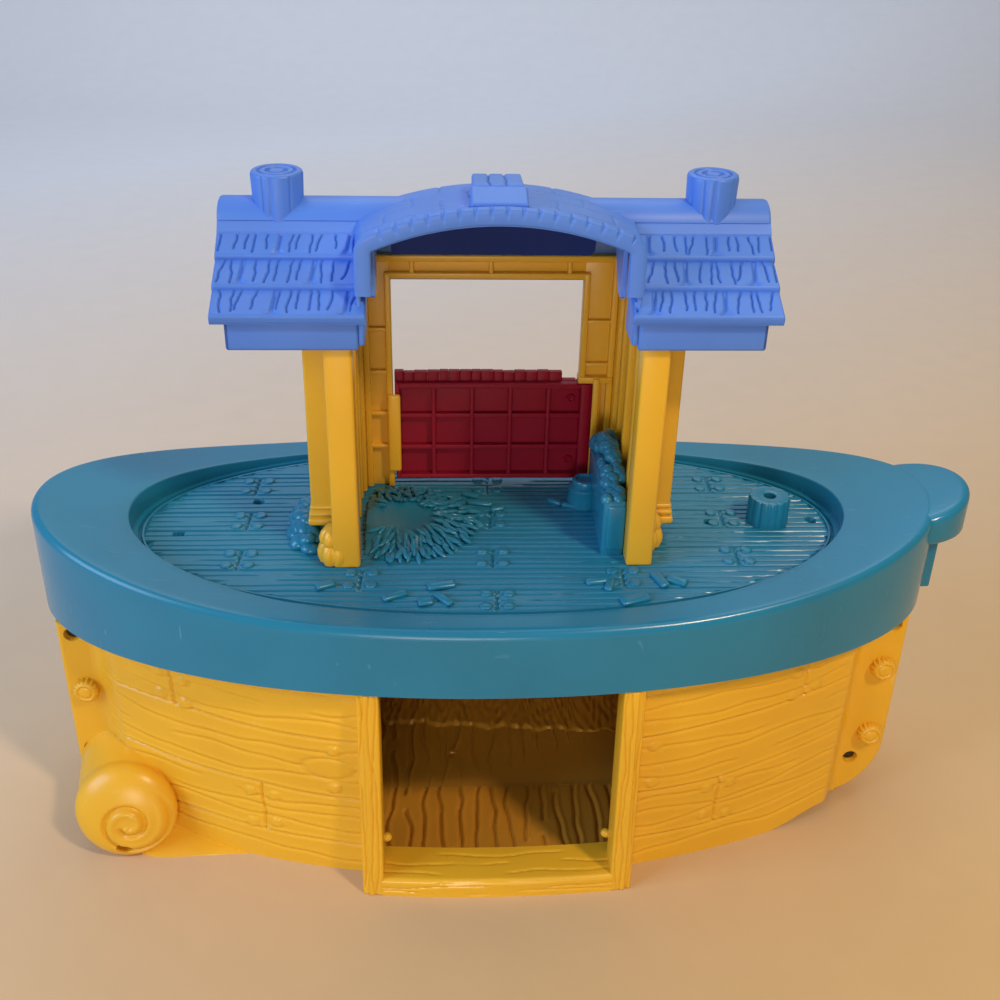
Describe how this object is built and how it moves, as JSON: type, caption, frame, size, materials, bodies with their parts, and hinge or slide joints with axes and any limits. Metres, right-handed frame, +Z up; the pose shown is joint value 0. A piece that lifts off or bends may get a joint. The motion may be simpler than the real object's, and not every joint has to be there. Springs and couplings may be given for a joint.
{
  "type": "toy ark playset",
  "caption": "Moulded plastic toy ark: hollow planked hull with a doorway, lift-off oval deck and a roofed cabin with a swinging gate at the back.",
  "frame": {"origin": "on the ground, in the hull's underside, under the middle of the cabin and on the boat's centre line", "axes": "+X from bow to stern, +Y from the doorway side to the back, +Z up"},
  "size_m": [0.4425, 0.192, 0.3185],
  "materials": {
    "yellow_plastic": "satin",
    "teal_plastic": "gloss",
    "blue_plastic": "satin",
    "maroon_plastic": "satin",
    "screw_steel": "satin"
  },
  "bodies": {
    "hull": {"hull_front_shell": "yellow_plastic", "hull_rear_shell": "yellow_plastic", "hull_screws": "screw_steel"},
    "deck_and_cabin": {"deck": "teal_plastic", "cabin_left_wall": "yellow_plastic", "cabin_right_wall": "yellow_plastic", "cabin_back_wall": "yellow_plastic", "cabin_screws": "screw_steel", "roof": "blue_plastic", "gate_hinge_pin": "screw_steel"},
    "gate": {"gate": "maroon_plastic"}
  },
  "joints": [
    {"name": "deck_lift", "type": "slide", "parent": "hull", "child": "deck_and_cabin", "axis": [0, 0, 1], "range_m": [0, 0.2]},
    {"name": "gate_hinge", "type": "hinge", "parent": "deck_and_cabin", "child": "gate", "pos_m": [0.0485, 0.041, 0.1775], "axis": [0, 0, -1], "range_deg": [0, 100]}
  ]
}
